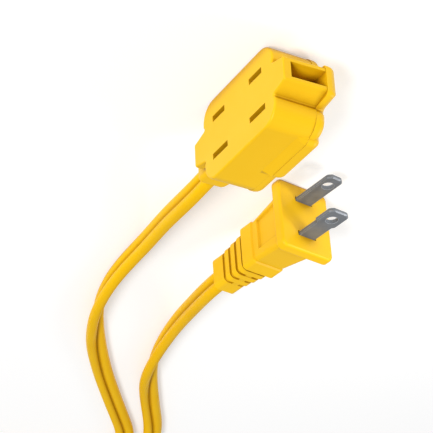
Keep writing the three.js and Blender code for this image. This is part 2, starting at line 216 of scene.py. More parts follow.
def drawn_lines():
    """Fine lines left along a drawn or brushed surface, from a place that is stretched along them."""
    tree, given, out = new_group(
        "drawn_lines",
        "ShaderNodeTree",
        [
            ("Place", "NodeSocketVector", None),
            ("Stretch", "NodeSocketVector", (1.0, 1.0, 1.0)),
            ("Fineness", "NodeSocketFloat", 10.0),
        ],
        [("Height", "NodeSocketFloat"), ("Mask", "NodeSocketFloat")],
    )
    ask = given.outputs
    stretched = node(
        tree, "ShaderNodeVectorMath", {0: ask["Place"], 1: ask["Stretch"]}, operation="MULTIPLY"
    ).outputs[0]
    fine = noise(tree, stretched, ask["Fineness"], 5.0)
    few = noise(tree, stretched, math_node(tree, "MULTIPLY", ask["Fineness"], 0.3), 2.0)
    tree.links.new(fine, out.inputs["Height"])
    tree.links.new(spread(tree, few, 0.52, 0.68, 0.0, 1.0), out.inputs["Mask"])
    return tree


def stripes(tree, place, scale, distortion, direction):
    links = {"Vector": place, "Scale": scale, "Distortion": distortion, "Detail": 1.0}
    return node(tree, "ShaderNodeTexWave", links, bands_direction=direction).outputs["Fac"]


def place_of(tree, uv=False):
    return node(tree, "ShaderNodeTexCoord").outputs["UV" if uv else "Object"]


def use(tree, group, values):
    return node(tree, "ShaderNodeGroup", values, node_tree=group).outputs


def new_material(name, constants):
    """A material whose Principled shader has these constants on its own sockets."""
    made = bpy.data.materials.new(name)
    made.use_nodes = True
    shader = made.node_tree.nodes["Principled BSDF"]
    for key, value in constants.items():
        shader.inputs[key].default_value = value
    return made, made.node_tree, shader


def bump(tree, shader, height, distance, strength):
    made = node(tree, "ShaderNodeBump", {"Height": height, "Distance": distance, "Strength": strength})
    tree.links.new(made.outputs["Normal"], shader.inputs["Normal"])


# The edge mask also drives a painted highlight, and the corner mask is painted shade.
SKIN, EDGE_POLISH_AND_HIGHLIGHT, CORNER_SHADE, LINES = moulded_skin(), edge_polish_and_highlight(), painted_corner_shade(), drawn_lines()


def yellow_vinyl():
    """Satin moulded vinyl of the tap housings and the plug."""
    made, tree, shader = new_material("yellow_vinyl", {"IOR": 1.5, "Specular IOR Level": 0.2})
    place = place_of(tree)
    skin = use(tree, SKIN, {
        "Place": place, "Colour": (0.87, 0.515, 0.005, 1), "Deep Colour": (0.84, 0.475, 0.004, 1),
        "Grain Scale": 5200.0, "Mottle Scale": 70.0, "Mottle": 0.5, "Roughness": 0.4,
    })
    polish_and_highlight = use(tree, EDGE_POLISH_AND_HIGHLIGHT, {"Place": place, "Reach": 0.0005, "Amount": 0.5})
    # Painted shade: the inner corners and slots are darkened towards a deep brown.
    corner_shade = use(tree, CORNER_SHADE, {"Place": place, "Reach": 0.0045, "Amount": 0.85})
    shaded = blend_colours(tree, corner_shade["Mask"], skin["Colour"], (0.36, 0.155, 0.001, 1))
    highlight_share = math_node(tree, "MULTIPLY", polish_and_highlight["Mask"], math_node(tree, "SUBTRACT", 1.0, corner_shade["Mask"]))
    # Painted highlight: the outer edges are lightened, except in the painted shade; their lower roughness is
    # real polish.
    tree.links.new(blend_colours(tree, highlight_share, shaded, (0.93, 0.6, 0.03, 1)), shader.inputs["Base Color"])
    tree.links.new(
        math_node(tree, "SUBTRACT", skin["Roughness"], math_node(tree, "MULTIPLY", polish_and_highlight["Mask"], 0.15)),
        shader.inputs["Roughness"])
    bump(tree, shader, skin["Height"], 0.00002, 0.5)
    return made


def yellow_jacket():
    """Extruded jacket of the flat cord, with drawing lines along it."""
    made, tree, shader = new_material("yellow_jacket", {"IOR": 1.5, "Specular IOR Level": 0.06})
    place = place_of(tree)
    skin = use(tree, SKIN, {
        "Place": place, "Colour": (0.9, 0.525, 0.003, 1), "Deep Colour": (0.87, 0.485, 0.002, 1),
        "Grain Scale": 3600.0, "Mottle Scale": 90.0, "Mottle": 0.6, "Roughness": 0.38,
    })
    lines = use(tree, LINES, {
        "Place": place_of(tree, uv=True), "Stretch": (60.0, 12.0, 1.0), "Fineness": 4.0,
    })
    # Painted shade: the cord's groove and its sides next to the floor and tap are darkened towards brown.
    corner_shade = use(tree, CORNER_SHADE, {"Place": place, "Reach": 0.003, "Amount": 0.75})
    tree.links.new(
        blend_colours(tree, corner_shade["Mask"], skin["Colour"], (0.33, 0.13, 0.001, 1)),
        shader.inputs["Base Color"])
    tree.links.new(
        math_node(tree, "ADD", skin["Roughness"], math_node(tree, "MULTIPLY", lines["Mask"], 0.06)),
        shader.inputs["Roughness"])
    height = math_node(tree, "ADD", math_node(tree, "MULTIPLY", skin["Height"], 0.4), lines["Height"])
    bump(tree, shader, height, 0.00003, 0.45)
    return made


def plated_metal(name, colour, dull, roughness, stretch, metallic=1.0, highlight_gain=1.35):
    """A plated or bare metal with fine lines, faint spots and corners lightened by a painted highlight."""
    made, tree, shader = new_material(name, {"Metallic": metallic})
    place = place_of(tree)
    lines = use(tree, LINES, {"Place": place, "Stretch": stretch, "Fineness": 1.0})
    spots = noise(tree, place, 320.0, 4.0)
    polish_and_highlight = use(tree, EDGE_POLISH_AND_HIGHLIGHT, {"Place": place, "Reach": 0.0004, "Amount": 0.8})
    toned = blend_colours(tree, spread(tree, spots, 0.4, 0.7, 0.0, 0.8), (*colour, 1), (*dull, 1))
    lined = blend_colours(tree, math_node(tree, "MULTIPLY", lines["Mask"], 0.35), toned, (*dull, 1))
    # Painted highlight: the edges blend towards a brighter copy of the colour.
    highlight_colour = tuple(min(1.0, c * highlight_gain) for c in colour)
    tree.links.new(blend_colours(tree, polish_and_highlight["Mask"], lined, (*highlight_colour, 1)), shader.inputs["Base Color"])
    uneven = math_node(
        tree, "ADD",
        spread(tree, spots, 0.3, 0.7, roughness - 0.05, roughness + 0.08),
        math_node(tree, "MULTIPLY", lines["Mask"], 0.08),
    )
    tree.links.new(uneven, shader.inputs["Roughness"])
    bump(tree, shader, lines["Height"], 0.00001, 0.5)
    return made


def stranded_copper():
    """Bare copper strands, laid at a slant along the conductor."""
    made, tree, shader = new_material("stranded_copper", {"Metallic": 1.0, "Roughness": 0.35})
    place = place_of(tree)
    lay = stripes(tree, place, 900.0, 1.5, "DIAGONAL")
    tree.links.new(
        blend_colours(tree, lay, (0.35, 0.14, 0.06, 1), (0.75, 0.40, 0.22, 1)),
        shader.inputs["Base Color"])
    bump(tree, shader, lay, 0.0001, 0.8)
    return made


def white_nylon():
    """Natural moulded nylon of the blade carrier."""
    made, tree, shader = new_material("white_nylon", {"IOR": 1.53})
    skin = use(tree, SKIN, {
        "Place": place_of(tree), "Colour": (0.80, 0.78, 0.70, 1), "Deep Colour": (0.72, 0.69, 0.60, 1),
        "Grain Scale": 4000.0, "Mottle Scale": 150.0, "Mottle": 0.6, "Roughness": 0.5,
    })
    tree.links.new(skin["Colour"], shader.inputs["Base Color"])
    tree.links.new(skin["Roughness"], shader.inputs["Roughness"])
    bump(tree, shader, skin["Height"], 0.00003, 0.5)
    return made


def black_strap():
    """Woven hook-and-loop strap: ribs across it and a soft nap between them."""
    made, tree, shader = new_material("black_strap", {"Sheen Weight": 0.35, "Sheen Roughness": 0.5})
    place = place_of(tree)
    warp = stripes(tree, place, 520.0, 0.6, "Y")
    weft = stripes(tree, place, 380.0, 0.6, "DIAGONAL")
    nap = noise(tree, place, 2500.0, 4.0)
    threads = math_node(tree, "MULTIPLY", math_node(tree, "MAXIMUM", warp, weft), 0.7)
    weave = math_node(tree, "ADD", threads, math_node(tree, "MULTIPLY", nap, 0.5))
    lit = spread(tree, weave, 0.3, 1.0, 0.0, 1.0)
    tree.links.new(
        blend_colours(tree, lit, (0.008, 0.008, 0.01, 1), (0.05, 0.05, 0.055, 1)),
        shader.inputs["Base Color"])
    tree.links.new(spread(tree, nap, 0.3, 0.7, 0.75, 0.95), shader.inputs["Roughness"])
    bump(tree, shader, weave, 0.0002, 0.8)
    return made


def pale_floor():
    """Pale, barely clouded floor that glows a little, so that it comes out near white."""
    made, tree, shader = new_material("pale_floor", {
        "Specular IOR Level": 0.2, "Emission Color": (1, 1, 1, 1), "Emission Strength": 0.365})
    cloud = noise(tree, place_of(tree), 3.0, 3.0)
    tree.links.new(
        blend_colours(tree, cloud, (0.71, 0.71, 0.71, 1), (0.69, 0.69, 0.69, 1)),
        shader.inputs["Base Color"])
    tree.links.new(spread(tree, cloud, 0.3, 0.7, 0.75, 0.9), shader.inputs["Roughness"])
    return made


FINISH = {
    "yellow_vinyl": yellow_vinyl(),
    "yellow_jacket": yellow_jacket(),
    "spring_brass": plated_metal(
        "spring_brass", (0.80, 0.56, 0.22), (0.60, 0.38, 0.13), 0.3, (40, 900, 300)),
    "nickel_plate": plated_metal(
        "nickel_plate", (0.165, 0.178, 0.196), (0.127, 0.136, 0.15), 0.42, (60, 1400, 400), 0.3, 3.4),
    "stranded_copper": stranded_copper(),
    "white_nylon": white_nylon(),
    "black_strap": black_strap(),
}


# ---------------------------------------------------------------- outlines and lofts
def rounded(corners, steps=7):
    """Closed outline from corners (a, b, radius), each rounded by an arc of steps + 1 points."""
    outline = []
    for i, (a, b, radius) in enumerate(corners):
        corner = Vector((a, b))
        before = (Vector(corners[i - 1][:2]) - corner).normalized()
        after = (Vector(corners[(i + 1) % len(corners)][:2]) - corner).normalized()
        half = before.angle(after) / 2
        centre = corner + (before + after).normalized() * radius / math.sin(half)
        reach = radius / math.tan(half)
        first, last = corner + before * reach - centre, corner + after * reach - centre
        start = math.atan2(first.y, first.x)
        sweep = (math.atan2(last.y, last.x) - start + math.pi) % (2 * math.pi) - math.pi
        for k in range(steps + 1):
            angle = start + sweep * k / steps
            outline.append(centre + Vector((math.cos(angle), math.sin(angle))) * radius)
    return outline


def inset(outline, distance):
    """The outline drawn in by distance, point by point along its own normals."""
    count = len(outline)
    area = sum(outline[i - 1].cross(outline[i]) for i in range(count))
    side = 1 if area > 0 else -1
    moved = []
    for i, point in enumerate(outline):
        along = (outline[(i + 1) % count] - outline[i - 1]).normalized()
        moved.append(point + Vector((-along.y, along.x)) * side * distance)
    return moved


def rectangle(half_a, half_b, radius, steps=7):
    signs = ((1, -1), (1, 1), (-1, 1), (-1, -1))
    return rounded([(a * half_a, b * half_b, radius) for a, b in signs], steps)


def loft(name, rings):
    """A closed solid through rings of points, in millimetres, with flat ends."""
    mesh = bmesh.new()
    made = [[mesh.verts.new(Vector(p) * MM) for p in ring] for ring in rings]
    for low, high in zip(made, made[1:]):
        for i in range(len(low)):
            mesh.faces.new((low[i - 1], low[i], high[i], high[i - 1]))
    mesh.faces.new(made[0])
    mesh.faces.new(made[-1])
    bmesh.ops.recalc_face_normals(mesh, faces=mesh.faces)
    return to_object(name, mesh)


def to_object(name, mesh):
    data = bpy.data.meshes.new(name)
    mesh.to_mesh(data)
    mesh.free()
    return add_object(name, data)


def block(x0, x1, y0, y1, z0, z1):
    ring = lambda x: [(x, y0, z0), (x, y1, z0), (x, y1, z1), (x, y0, z1)]
    return loft("block", [ring(x0), ring(x1)])


def rod(start, end, radius, sides=32):
    """A round bar between two points."""
    start, end = Vector(start), Vector(end)
    turn = (end - start).to_track_quat("Z", "Y")
    ring = [turn @ Vector((math.cos(a) * radius, math.sin(a) * radius, 0))
            for a in (2 * math.pi * k / sides for k in range(sides))]
    return loft("rod", [[start + p for p in ring], [end + p for p in ring]])


def bake(obj):
    """Applies the modifiers: the evaluated mesh becomes the object's own."""
    evaluated = obj.evaluated_get(bpy.context.evaluated_depsgraph_get())
    baked = bpy.data.meshes.new_from_object(evaluated)
    obj.modifiers.clear()
    obj.data = baked
    return obj


def combine(base, tools, operation):
    """Cuts the tools out of base, or joins them to it."""
    for tool in tools:
        step = base.modifiers.new("combine", "BOOLEAN")
        step.operation = operation
        step.solver = "EXACT"
        step.object = tool
        bpy.context.view_layer.update()
        bake(base)
        bpy.data.objects.remove(tool)
    return base


def cut(base, *tools):
    return combine(base, tools, "DIFFERENCE")


def join(base, *tools):
    return combine(base, tools, "UNION")


LARGE_FACE = 30e-6  # square metres
FLAT_ANGLE = math.radians(10)


def crease_flats(data):
    """Keeps large flat faces flat: their edges are sharp where the surface turns away."""
    mesh = bmesh.new()
    mesh.from_mesh(data)
    for edge in mesh.edges:
        if len(edge.link_faces) == 2 and max(face.calc_area() for face in edge.link_faces) > LARGE_FACE:
            edge.smooth = edge.calc_face_angle() < FLAT_ANGLE
    mesh.to_mesh(data)
    mesh.free()


MERGE = 2e-6  # points closer than this, in metres, are one


def soften(obj, width, angle=35, segments=3):
    """Rounds the edges sharper than the angle, and keeps flat faces flat in shading."""
    merged = bmesh.new()
    merged.from_mesh(obj.data)
    bmesh.ops.remove_doubles(merged, verts=merged.verts, dist=MERGE)
    bmesh.ops.dissolve_degenerate(merged, dist=MERGE, edges=merged.edges)
    merged.to_mesh(obj.data)
    merged.free()
    edge = obj.modifiers.new("edges", "BEVEL")
    edge.width = width * MM
    edge.segments = segments
    edge.limit_method = "ANGLE"
    edge.angle_limit = math.radians(angle)
    edge.use_clamp_overlap = True
    edge.miter_outer = "MITER_ARC"
    bpy.context.view_layer.update()
    bake(obj)
    obj.data.shade_smooth()
    crease_flats(obj.data)
    level = obj.modifiers.new("level", "WEIGHTED_NORMAL")
    level.keep_sharp = True
    level.weight = 100
    level.thresh = 1e-9
    bpy.context.view_layer.update()
    return bake(obj)


def finish_piece(obj, name, place, slot, *replaced):
    """Puts a piece where its CAD nodes are, with its finish, on the one body."""
    obj.name = obj.data.name = name
    obj.data.transform(place)
    obj.data.materials.clear()
    obj.data.materials.append(FINISH[slot])
    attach(obj, "root")
    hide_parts(*replaced)
    return obj


# ---------------------------------------------------------------- the flat cord
CORD_WIDTH, CORD_THICK = 7.6, 3.8
FLAT_HEIGHT, EDGE_HEIGHT = CORD_THICK / 2, CORD_WIDTH / 2  # of its centreline, lying flat or on edge
# Centreline points and the cord's twist there: 0 stands on edge, 90 lies flat.
TAP_ROUTE = [
    (0.010, 0, 0.0134, 0), (0.022, 0, 0.0134, 0), (0.033, 0.0001, 0.0134, 0), (0.0415, 0.0008, 0.0129, 0),
    (0.050, 0.0019, 0.0116, 0), (0.059, 0.0033, 0.0098, 0), (0.0685, 0.0049, 0.0079, 0),
    (0.078, 0.0066, 0.0063, 0), (0.088, 0.0081, 0.005, 0), (0.098, 0.0091, 0.0041, 0),
    (0.108, 0.0098, 0.0038, 0), (0.118, 0.0109, 0.0038, 3), (0.128, 0.0129, 0.0038, 9),
    (0.139, 0.0161, 0.0037, 21), (0.151, 0.0214, 0.0033, 42), (0.163, 0.0277, 0.0027, 65),
    (0.175, 0.035, 0.0022, 81), (0.187, 0.0429, 0.0019, 90), (0.199, 0.0515, 0.0019, 90),
    (0.211, 0.0603, 0.0019, 90), (0.222, 0.0685, 0.0019, 90),
]
PLUG_ROUTE = [
    (0.062, 0.0376, 0.0131, 0), (0.072, 0.0363, 0.0135, 0), (0.084, 0.0349, 0.0138, 0),
    (0.0935, 0.0356, 0.0129, 0), (0.1035, 0.0376, 0.0111, 0), (0.1165, 0.0409, 0.0082, 0),
    (0.1305, 0.0441, 0.0058, 0), (0.1445, 0.0474, 0.0043, 4), (0.1565, 0.0503, 0.0038, 12),
    (0.169, 0.054, 0.0036, 27), (0.1815, 0.0594, 0.003, 55), (0.194, 0.0663, 0.0022, 81),
    (0.206, 0.0735, 0.0019, 90), (0.219, 0.0814, 0.0022, 84), (0.2315, 0.0874, 0.0027, 65),
    (0.244, 0.0918, 0.0036, 35), (0.262, 0.0962, 0.0062, 10), (0.280, 0.1007, 0.0096, 0),
    (0.2963, 0.1047, 0.0122, 0),
]
# Arc that leads into the coil, and the coil: millimetres and degrees.
LEAD = {"centre": (248.5, 45.65), "radius": 34.0, "start": 125.0, "steps": 12}
COIL = {
    "centre": (327.5, 63.9), "outer": 47.1, "inner": 36.6, "enters": 193.0, "leaves": 103.85,
    "turns": 5, "steps_a_turn": 36, "low": 4.9, "high": 12.7, "climb": 70,
}


def ease(share):
    """Share from 0 to 1 that starts and stops gently."""
    return share * share * (3 - 2 * share)


def on_arc(centre, radius, angle):
    return centre[0] + radius * math.cos(angle), centre[1] + radius * math.sin(angle)


def coil_points():
    """Lead-in arc and two layers of turns, as (x, y, z, twist) in millimetres."""
    outer, inner = COIL["outer"], COIL["inner"]
    enters, leaves = math.radians(COIL["enters"]), math.radians(COIL["leaves"])
    low, high = COIL["low"], COIL["high"]
    points = []
    for k in range(LEAD["steps"]):
        share = k / LEAD["steps"]
        angle = math.radians(LEAD["start"]) * (1 - share) + (enters - math.pi) * share
        z = FLAT_HEIGHT + (low - FLAT_HEIGHT) * share
        points.append((*on_arc(LEAD["centre"], LEAD["radius"], angle), z, 90 * (1 - ease(share))))
    sweep = 2 * math.pi * COIL["turns"] - (enters - leaves)
    steps = COIL["turns"] * COIL["steps_a_turn"]
    half = math.pi * COIL["turns"]
    for k in range(steps + 1):
        turned = sweep * k / steps
        if turned < half:
            radius = outer - (outer - inner) * turned / half
        else:
            radius = inner + (outer - inner) * (turned - half) / (sweep - half)
        climb = min(1, max(0, (turned - half) / math.radians(COIL["climb"]) + 0.5))
        z = low + (high - low) * ease(climb)
        points.append((*on_arc(COIL["centre"], radius, enters + turned), z, 0))
    return points


DENSE_STEP, EASING_STEP, RING_STEP = 0.4, 1.0, 1.8  # millimetres along the cord
EASING_REACH = 7  # steps on each side that a point is averaged over
EASING_ROUNDS = 2


def smooth_path(points):
    """Evenly spaced points on a Catmull-Rom curve through the given ones, eased where it bends."""
    points = np.array(points, float)
    ends = np.vstack([2 * points[0] - points[1], points, 2 * points[-1] - points[-2]])
    dense = []
    for p0, p1, p2, p3 in zip(ends, ends[1:], ends[2:], ends[3:]):
        length = np.linalg.norm(p2[:3] - p1[:3])
        t = np.linspace(0, 1, max(2, int(length / DENSE_STEP)), endpoint=False)[:, None]
        dense.append(0.5 * (2 * p1 + (p2 - p0) * t + (2 * p0 - 5 * p1 + 4 * p2 - p3) * t**2
                            + (3 * p1 - p0 - 3 * p2 + p3) * t**3))
    dense = np.vstack(dense + [points[-1:]])

    def even(line, gap):
        run = np.concatenate([[0], np.cumsum(np.linalg.norm(np.diff(line[:, :3], axis=0), axis=1))])
        at = np.linspace(0, run[-1], int(round(run[-1] / gap)) + 1)
        return np.stack([np.interp(at, run, line[:, c]) for c in range(line.shape[1])], axis=1)

    line = even(dense, EASING_STEP)
    kernel = np.hanning(2 * EASING_REACH + 1)
    kernel /= kernel.sum()
    for _ in range(EASING_ROUNDS):
        before = 2 * line[0] - line[EASING_REACH:0:-1]
        after = 2 * line[-1] - line[-2:-EASING_REACH - 2:-1]
        padded = np.vstack([before, line, after])
        line = np.stack([np.convolve(padded[:, c], kernel, "valid") for c in range(4)], axis=1)
    return even(line, RING_STEP)


RIB_DEPTH = 0.09
WEB_ANGLE = 161  # degrees from a conductor's far side to where the web joins it


def cord_section():
    """Outline of the flat cord: two round conductors joined by a web, the upper one finely ribbed."""
    radius = CORD_THICK / 2
    opening = math.radians(WEB_ANGLE)
    outline = []
    for side, count, ribbed in ((1, 41, range(12, 29)), (-1, 21, ())):
        for k in range(count):
            angle = -opening + 2 * opening * k / (count - 1)
            reach = radius - RIB_DEPTH * (k % 2) if k in ribbed else radius
            outline.append((side * (radius + reach * math.cos(angle)), side * reach * math.sin(angle)))
    return outline


def in_millimetres(route):
    return [(x / MM, y / MM, z / MM, twist) for x, y, z, twist in route]


def make_cord():
    """The cord from tap to plug, one ring of points after another, and its centreline."""
    back = [(x, y, z, -twist) for x, y, z, twist in reversed(in_millimetres(PLUG_ROUTE))]
    line = smooth_path(in_millimetres(TAP_ROUTE) + coil_points() + back)
    centre, twist = line[:, :3], np.radians(line[:, 3])
    resting = FLAT_HEIGHT + (EDGE_HEIGHT - FLAT_HEIGHT) * np.abs(np.cos(twist))
    centre[:, 2] = np.maximum(centre[:, 2], resting)
    along = np.gradient(centre, axis=0)
    along /= np.linalg.norm(along, axis=1)[:, None]
    flat = np.cross(along, (0, 0, 1))
    flat /= np.linalg.norm(flat, axis=1)[:, None]
    upright = np.cross(flat, along)
    wide = np.cos(twist)[:, None] * upright + np.sin(twist)[:, None] * flat
    thin = np.cross(along, wide)
    section = np.array(cord_section())
    across, through = section[None, :, :1], section[None, :, 1:]
    rings = (centre[:, None] + across * wide[:, None] + through * thin[:, None]) * MM
    count, around = rings.shape[:2]
    index = np.arange(count * around).reshape(count, around)
    a, b = index[:-1], index[1:]
    quads = np.stack([a, np.roll(a, -1, 1), np.roll(b, -1, 1), b], axis=-1).reshape(-1, 4)
    faces = [tuple(map(int, q)) for q in quads]
    faces += [tuple(map(int, index[0][::-1])), tuple(map(int, index[-1]))]
    data = bpy.data.meshes.new("cord")
    data.from_pydata([tuple(map(float, p)) for p in rings.reshape(-1, 3)], [], faces)
    run = np.concatenate([[0], np.cumsum(np.linalg.norm(np.diff(centre, axis=0), axis=1))]) * MM
    uv = data.uv_layers.new(name="around_and_along")
    share = np.arange(around + 1) / around
    corners = []
    for i in range(count - 1):
        for j in range(around):
            left, right, near, far = share[j], share[j + 1], run[i], run[i + 1]
            corners += [left, near, right, near, right, far, left, far]
    corners += [0.0] * (2 * len(data.loops) - len(corners))  # the two end faces
    uv.data.foreach_set("uv", corners)
    mesh = bmesh.new()
    mesh.from_mesh(data)
    bmesh.ops.recalc_face_normals(mesh, faces=mesh.faces)
    mesh.to_mesh(data)
    mesh.free()
    data.shade_smooth()
    return add_object("cord", data), (centre * MM).tolist()


cord, cord_path = make_cord()
finish_piece(cord, "cord", Matrix.Identity(4), "yellow_jacket", "cord_run_tap", "cord_run_plug", "cord_coil")


# ---------------------------------------------------------------- tap housings
ROW = 6.35  # each row of slots, and each blade, from the middle: half of 12.7
OUTLET_OFFSET = 10.2  # each outlet of the face from the middle, half of 20.4
SLOT_HALF = 1.0
HOT_SLOT, NEUTRAL_SLOT = 6.8, 8.3  # lengths
FACE_PLATE = 2.4
FRONT_EDGE, REAR_EDGE = 13.55, 13.58  # depths at which the two housings meet, a hairline apart
BACK_INSIDE = 16.2
CAVITY = (16.4, 11.4, 4.0)  # half length, half height, corner radius
PAD_LEFT, PAD_RIGHT, PAD_LOW, PAD_TOP = -14.8, 6.0, -13.2, 14.7  # raised pad of the rear outlet
NECK_FROM, NECK_REACH = 20, 4.8
RAMP_START = 10.2
EDGE_ROUNDING = 0.14


def tap_outline(neck, root, tip, corner, tip_corner, lip_corner):
    """Outline of the tap in x and z: a body with rounded corners and a neck at each end."""
    lip = root + 1.1
    quarter = [
        (neck, tip, tip_corner), (18.7, root, 0.35), (19.35, lip, lip_corner), (19.0, 13.4, corner),
    ]
    mirrored = quarter[::-1]
    return rounded([
        *[(-x, -z, r) for x, z, r in quarter], *[(x, -z, r) for x, z, r in mirrored],
        *quarter, *[(-x, z, r) for x, z, r in mirrored],
    ])


def neck_bulge(point):
    """The necks stand out a little towards mid depth and fall back behind it."""
    x, y, z = point
    if abs(x) < NECK_FROM:
        return point
    grow = np.interp(y, (0, 2.3, 9.1, 13.6, 17), (-0.1, 0.2, 1.0, 0.5, 0.3))
    return x + math.copysign(grow * (abs(x) - NECK_FROM) / NECK_REACH, x), y, z


def depth_rings(outline, levels, shape=lambda p: p):
    """Rings across the depth, one for each level (depth, how far the outline is drawn in)."""
    return [[shape((p.x, y, p.y)) for p in inset(outline, drawn)] for y, drawn in levels]


def outlet_cutters(x, y0, y1):
    """The short and the long slot of one outlet, from depth y0 to y1."""
    return [
        block(x - length / 2, x + length / 2, y0, y1, z - SLOT_HALF, z + SLOT_HALF)
        for z, length in ((-ROW, HOT_SLOT), (ROW, NEUTRAL_SLOT))
    ]


def pad_ramp():
    """Slope on the front housing's side that rises to the raised pad behind it."""
    rings = []
    for x_front, x_back, base, top_back, top_front in (
        (-15.0, -14.8, 12.6, 13.3, 12.9), (-14.2, -14.2, 12.8, 14.0, 13.2),
        (-12.9, -12.9, 12.8, 14.5, 13.36), (5.0, 5.0, 12.8, 14.5, 13.36), (6.3, 6.0, 12.8, 13.35, 13.3),
    ):
        rings.append([
            (x_front, RAMP_START, base), (x_back, FRONT_EDGE, base),
            (x_back, FRONT_EDGE, top_back), (x_front, RAMP_START, top_front),
        ])
    return loft("ramp", rings)


def tap_front():
    """Front housing: its face with two outlets, its side walls and the open pocket of the far neck."""
    outer = loft("tap_front", depth_rings(
        tap_outline(24.8, 5.5, 3.9, 6.0, 0.8, 0.7),
        [(0, 0.62), (0.06, 0.4), (0.2, 0.2), (0.42, 0.06), (0.75, 0), (FRONT_EDGE, 0)], neck_bulge))
    join(outer, pad_ramp())
    past = 15  # a depth behind the open side
    cavity = loft("cavity", depth_rings(rectangle(*CAVITY), [(FACE_PLATE, 0), (past, 0)]))
    pocket = block(-28, -17.6, 2.3, past, -2.6, 2.6)
    waist = block(15, 28, 2.7, past, -4.2, 4.2)
    collar = block(19.2, 28, FACE_PLATE, past, -8, 8)
    slots = [*outlet_cutters(-OUTLET_OFFSET, -1, 4), *outlet_cutters(OUTLET_OFFSET, -1, 4)]
    cut(outer, cavity, pocket, waist, collar, *slots)
    return soften(outer, EDGE_ROUNDING)


def tap_rear():
    """Rear cover with the raised pad of the third outlet."""
    outer = loft("tap_rear", depth_rings(
        tap_outline(25.6, 5.9, 5.0, 5.4, 1.5, 1.6),
        [(REAR_EDGE, 0.06), (13.7, 0), (14.9, 0), (15.7, 0.2), (16.4, 0.65), (16.85, 1.15), (17.0, 1.38)]))
    pad_outline = rounded([
        (PAD_LEFT, PAD_LOW, 2.4), (PAD_RIGHT, PAD_LOW, 2.4),
        (PAD_RIGHT, PAD_TOP, 2.2), (PAD_LEFT, PAD_TOP, 2.2),
    ])
    join(outer, loft("pad", depth_rings(pad_outline, [
        (REAR_EDGE, 0.08), (13.75, 0), (15.4, 0), (16.4, 0.25), (17.2, 0.75), (17.75, 1.4), (18.0, 2.1)])))
    hollow = loft("hollow", depth_rings(rectangle(*CAVITY), [(13, 0), (BACK_INSIDE, 0)]))
    cut(outer, hollow, *outlet_cutters(0, 15, 19))
    return soften(outer, EDGE_ROUNDING)


def tap_strain_relief():
    """Block that the cord leaves the tap through, with the flange and tail that hold it inside."""
    def section(x, half_z, front, back, radius):
        middle, half = (front + back) / 2, (back - front) / 2
        return [(x, middle + p.x, p.y) for p in rectangle(half, half_z, radius, 5)]

    body = loft("tap_strain_relief", [
        section(19.6, 5.5, 3.0, 13.3, 1.3), section(26.0, 5.4, 3.2, 13.2, 1.3),
        section(28.6, 5.1, 3.6, 12.9, 1.4), section(29.4, 4.9, 3.9, 12.6, 1.5),
        section(29.7, 4.5, 4.4, 12.1, 1.4)])
    waist = block(16, 20, 4, 12.3, -3.9, 3.9)
    flange = block(15.1, 16.1, 3.4, 13, -5.2, 5.2)
    tail = block(9.7, 15.5, 5.2, 12.8, -4.4, 4.4)
    join(body, waist, flange, tail)
    bore = loft("bore", [[(x, 9 + p.x, p.y) for p in rectangle(2.0, 3.9, 1.8, 6)] for x in (8, 31)])
    return soften(cut(body, bore), 0.3)


finish_piece(tap_front(), "tap_face_shell", TAP_PLACE, "yellow_vinyl", "tap_front_housing")
finish_piece(tap_rear(), "tap_back_shell", TAP_PLACE, "yellow_vinyl", "tap_rear_cover")
finish_piece(tap_strain_relief(), "tap_cord_grip", TAP_PLACE, "yellow_vinyl", "tap_strain_relief")


# ---------------------------------------------------------------- plug
PLATE_LIFT = 0.3
BLADE_HALF, BLADE_ROOM = 0.75, 0.85  # half thickness of a blade and of its way through the plate
CRIMP_OFFSET = 5.2  # each crimp from the middle


def along_rings(stations, lift=0.0):
    """Rings across x from (x, half y, half z, corner radius), lifted a little in z."""
    return [[(x, p.x, p.y + lift) for p in rectangle(half_y, half_z, radius)]
            for x, half_y, half_z, radius in stations]


def plug_body():
    """Plug moulding: face plate, tapered grip with a sunk panel on each side, and collar."""
    plate = loft("plug_moulding", along_rings([
        (0, 9.4, 11.6, 1.6), (0.08, 9.75, 11.95, 1.8), (0.35, 10.1, 12.3, 2.1), (0.9, 10.3, 12.6, 2.3),
        (2.9, 10.3, 12.6, 2.3), (3.2, 10.15, 12.45, 2.2), (3.4, 9.8, 12.1, 2.0)], PLATE_LIFT))
    body = loft("body", along_rings([(3.2, 7.4, 9.6, 1.5), (20.2, 5.8, 7.2, 1.3)]))
    collar = loft("collar", along_rings([
        (19.2, 5.9, 7.3, 1.3), (19.6, 6.3, 7.8, 1.5), (24.5, 6.3, 7.8, 1.5), (25.0, 5.9, 7.4, 1.4)]))
    join(plate, body, collar)
    for side in (-1, 1):
        panel = loft("panel", [
            [(x, side * depth, low), (x, side * depth, high),
             (rim_x, side * 9, rim_high), (rim_x, side * 9, rim_low)]
            for x, depth, low, high, rim_x, rim_low, rim_high in (
                (5.8, 6.5, -6.6, 4.9, 4.0, -8.1, 6.4), (16.0, 5.5, -6.0, 4.2, 18.6, -7.6, 5.9))])
        cut(plate, panel)
    rooms = [
        block(2.9, 8.5, -4.3, 4.3, -8.3, 8.3), block(8.2, 14.5, -4.3, 4.3, -7.4, 7.4),
        loft("tail_room", along_rings([(14.2, 4.3, 7.1, 1.0), (26, 4.3, 5.4, 1.0)])),
    ]
    for z, half in ((-ROW, 3.4), (ROW, 3.6)):
        rooms.append(block(-1, 3.4, -half, half, z - BLADE_ROOM, z + BLADE_ROOM))
    cut(plate, *rooms)
    return soften(plate, 0.25)


